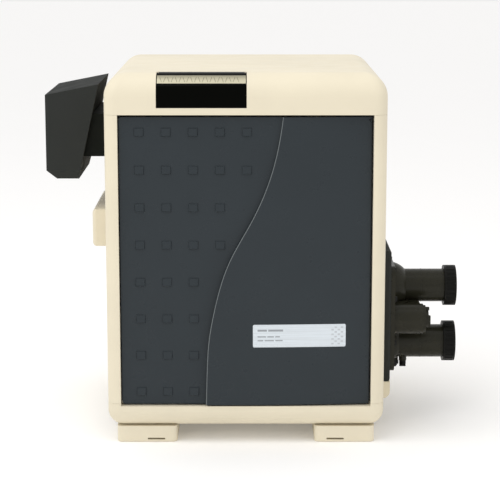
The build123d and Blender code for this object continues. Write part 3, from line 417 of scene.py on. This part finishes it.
# Weather seal behind both long edges of the door: distances from the cabinet's middle and front.
SEAL_INNER, SEAL_OUTER, SEAL_FRONT, SEAL_BACK = 241.5 * MM, 248 * MM, 23.3 * MM, 26 * MM
SEAL_CHAMFER, SEAL_END_GAP = 1 * MM, 1 * MM
SEAL_OUTLINE = (
    (SEAL_INNER, SEAL_BACK),
    (SEAL_INNER, SEAL_FRONT + SEAL_CHAMFER),
    (SEAL_INNER + SEAL_CHAMFER, SEAL_FRONT),
    (SEAL_OUTER - SEAL_CHAMFER, SEAL_FRONT),
    (SEAL_OUTER, SEAL_FRONT + SEAL_CHAMFER),
    (SEAL_OUTER, SEAL_BACK),
)

panel_low, panel_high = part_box("left_panel")
seal = bmesh.new()
for side in (-1, 1):
    ends = []
    for z in (panel_low.z + SEAL_END_GAP, panel_high.z - SEAL_END_GAP):
        ends.append([seal.verts.new(Vector((CX + side * x, FRONT + y, z)))
                     for x, y in SEAL_OUTLINE])
    for i in range(len(SEAL_OUTLINE)):
        j = (i + 1) % len(SEAL_OUTLINE)
        seal.faces.new((ends[0][i], ends[0][j], ends[1][j], ends[1][i]))
    for end in ends:
        seal.faces.new(end)
bmesh.ops.recalc_face_normals(seal, faces=seal.faces)
finish_piece("door_seal", seal, "cabinet", "hose_rubber", smooth=False)

# Rounded crest along the curved step of the door, taken from the step's own edge; its lighter
# material paints a highlight along the step.
CREST_FRONT = FRONT + 6.5 * MM             # the step's edge lies in front of this plane
CREST_R, CREST_RIGHT, CREST_IN = 0.9 * MM, 0.5 * MM, 0.45 * MM
TOWARDS_FRONT, TOWARDS_LEFT, HARDLY_FRONT = -0.9, -0.5, 0.4   # limits on a normal's parts
CREST_FEWEST = 4

door = door_mesh()
crest = {}
for edge in door.edges:
    if len(edge.link_faces) != 2:
        continue
    normals = [f.normal for f in edge.link_faces]
    meets_front = any(n.y < TOWARDS_FRONT for n in normals)
    meets_step = any(n.x < TOWARDS_LEFT and abs(n.y) < HARDLY_FRONT for n in normals)
    if meets_front and meets_step and all(v.co.y < CREST_FRONT for v in edge.verts):
        for vert in edge.verts:
            crest[round(vert.co.z, 5)] = vert.co.copy()
door.free()
crest_points = [crest[z] for z in sorted(crest)]
if len(crest_points) >= CREST_FEWEST:
    curve = bpy.data.curves.new("door_crest_painted_highlight", "CURVE")
    curve.dimensions = "3D"
    curve.bevel_depth = CREST_R
    curve.bevel_resolution = 3
    curve.use_fill_caps = True
    spline = curve.splines.new("POLY")
    spline.points.add(len(crest_points) - 1)
    for point, place in zip(spline.points, crest_points):
        point.co = (place.x + CREST_RIGHT, place.y + CREST_IN, place.z, 1)
    crest_piece = bpy.data.objects.new("door_crest_painted_highlight", curve)
    bpy.context.scene.collection.objects.link(crest_piece)
    curve.materials.append(MATERIALS["door_crest_painted_highlight"].material)
    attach(crest_piece, "door")

# Sloped caps on the small squares of the door, so that each has a deeper lower edge. The squares
# are found as islands of faces that lie in one plane.
TILE_Y, TILE_Y_SLACK = FRONT + 7.5 * MM, 0.1 * MM
TILE_MIN, TILE_MAX = 5 * MM, 25 * MM
SQUARELY_FRONT = -0.99
INSET, PROUD_TOP, PROUD_LOW, CAP_SUNK = 0.8 * MM, 0.2 * MM, 1.6 * MM, 0.2 * MM

door = door_mesh()
pending = {f for f in door.faces
           if f.normal.y < SQUARELY_FRONT
           and abs(f.calc_center_median().y - TILE_Y) < TILE_Y_SLACK}
tiles = []
while pending:
    island, queue = set(), [pending.pop()]
    while queue:
        face = queue.pop()
        island.add(face)
        for near in {n for e in face.edges for n in e.link_faces} & pending:
            pending.discard(near)
            queue.append(near)
    xs = [v.co.x for f in island for v in f.verts]
    zs = [v.co.z for f in island for v in f.verts]
    if all(TILE_MIN < max(span) - min(span) < TILE_MAX for span in (xs, zs)):
        tiles.append((min(xs), max(xs), min(zs), max(zs)))
door.free()
caps = bmesh.new()
for x0, x1, z0, z1 in sorted(tiles):
    left, right, low, top = x0 + INSET, x1 - INSET, z0 + INSET, z1 - INSET
    front = [caps.verts.new((x, TILE_Y - proud, z)) for x, proud, z in (
        (left, PROUD_LOW, low), (right, PROUD_LOW, low),
        (right, PROUD_TOP, top), (left, PROUD_TOP, top))]
    back = [caps.verts.new((v.co.x, TILE_Y + CAP_SUNK, v.co.z)) for v in front]
    caps.faces.new(front)
    for i in range(4):
        j = (i + 1) % 4
        caps.faces.new((front[i], front[j], back[j], back[i]))
bmesh.ops.recalc_face_normals(caps, faces=caps.faces)
if tiles:
    finish_piece("door_tile_caps", caps, "door", "door_plastic", smooth=False)

# The bypass spring as a piece with a mesh of its own, riding on the cabinet.
coil = bmesh.new()
coil.from_mesh(NODES["bypass_spring"].data)
spring = finish_piece("bypass_coil", coil, "cabinet", "stainless")
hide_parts("bypass_spring")
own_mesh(spring)

# Mould seams and blank raised pads on the two water stubs. Angles are in degrees above the front.
STUB_R = 34.25 * MM
SEAM_BEHIND, SEAM_W, SEAM_LIFT, SEAM_ANGLES = 47.4 * MM, 1.2 * MM, 0.5 * MM, (-180, 180)
PAD_START, PAD_END, PAD_LIFT, PAD_ANGLES = 4 * MM, 41 * MM, 0.7 * MM, (-12, 10)
FACET_ANGLE, FEWEST_FACETS = 5, 3
WALL_SUNK = 0.2 * MM


def wrapped(name, centre, x_span, angles, lift, steps=10):
    """Raised patch around a stub whose axis is along X through centre."""
    around = max(FEWEST_FACETS, int(abs(angles[1] - angles[0]) / FACET_ANGLE))
    rows = []
    for i in range(steps + 1):
        x = x_span[0] + (x_span[1] - x_span[0]) * i / steps
        row = []
        for j in range(around + 1):
            a = radians(angles[0] + (angles[1] - angles[0]) * j / around)
            row.append(Vector((x, centre.y - (STUB_R + lift) * cos(a),
                               centre.z + (STUB_R + lift) * sin(a))))
        rows.append(row)
    bm = bmesh.new()
    for vert in walled_skin(bm, rows):
        spoke = Vector((0, vert.co.y - centre.y, vert.co.z - centre.z)).normalized()
        vert.co -= spoke * (lift + WALL_SUNK)
    bmesh.ops.recalc_face_normals(bm, faces=bm.faces)
    finish_piece(name, bm, "cabinet", "header_plastic", smooth=False)


for which in ("upper", "lower"):
    nut_low, nut_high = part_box("union_nut_" + which)
    centre = (nut_low + nut_high) / 2
    seam = nut_low.x - SEAM_BEHIND
    wrapped("stub_seam_" + which, centre, (seam, seam + SEAM_W), SEAM_ANGLES, SEAM_LIFT, steps=1)
    wrapped("stub_pad_" + which, centre, (seam + PAD_START, seam + PAD_END), PAD_ANGLES, PAD_LIFT)


# ---------------------------------------------------------------- studio
FLOOR_HALF = 20                            # metres
FLOOR_GLOW, WORLD_GLOW = 0.10, 0.88
LIT_POINT = (0, 0, 0.35)
CAMERA_LENS, CAMERA_SENSOR = 122.75, 36    # millimetres
CAMERA_RIGHT, CAMERA_BACK, CAMERA_HEIGHT, CAMERA_DOWN = 8.3 * MM, 3.2505, 1.0076, 10.745


def studio_floor(half):
    """Square floor, from -half to half each way."""
    mesh = bpy.data.meshes.new("studio_floor")
    corners = [(-half, -half, 0), (half, -half, 0), (half, half, 0), (-half, half, 0)]
    mesh.from_pydata(corners, [], [(0, 1, 2, 3)])
    obj = bpy.data.objects.new("studio_floor", mesh)
    bpy.context.scene.collection.objects.link(obj)
    return obj


def area_light(name, location, size, power):
    """Square light of a size in metres, aimed at the middle of the part."""
    data = bpy.data.lights.new(name, "AREA")
    data.shape = "RECTANGLE"
    data.size = data.size_y = size
    data.energy = power
    obj = bpy.data.objects.new(name, data)
    bpy.context.scene.collection.objects.link(obj)
    obj.location = location
    obj.rotation_mode = "QUATERNION"
    obj.rotation_quaternion = (Vector(LIT_POINT) - Vector(location)).to_track_quat("-Z", "Y")


scene = bpy.context.scene
scene.view_settings.view_transform = "Standard"
floor = studio_floor(FLOOR_HALF)
floor_shader = Shader("studio white", (0.95, 0.94, 0.93), 0.9, Specular_IOR_Level=0.05)
floor_shader.bsdf.inputs["Emission Color"].default_value = (1, 1, 1, 1)
floor_shader.bsdf.inputs["Emission Strength"].default_value = FLOOR_GLOW
floor_shader.vary_color(floor_shader.noise(2), 0.995, 1.0)
floor.data.materials.append(floor_shader.material)

world = bpy.data.worlds.new("studio")
scene.world = world
world.use_nodes = True
world.node_tree.nodes["Background"].inputs["Color"].default_value = (1, 1, 1, 1)
world.node_tree.nodes["Background"].inputs["Strength"].default_value = WORLD_GLOW

area_light("key_light", (-0.9, -0.9, 3.0), 2.4, 31)
area_light("front_fill", (-1.6, -3.4, 1.5), 1.0, 7)

# Solved from the cabinet's edges in the photo, then with the lens 0.4 per cent longer.
camera_data = bpy.data.cameras.new("camera")
camera_data.sensor_width = CAMERA_SENSOR
camera_data.lens = CAMERA_LENS
camera = bpy.data.objects.new("camera", camera_data)
scene.collection.objects.link(camera)
camera.location = (CX + CAMERA_RIGHT, FRONT - CAMERA_BACK, CAMERA_HEIGHT)
camera.rotation_euler = (radians(90 - CAMERA_DOWN), 0, 0)
scene.camera = camera
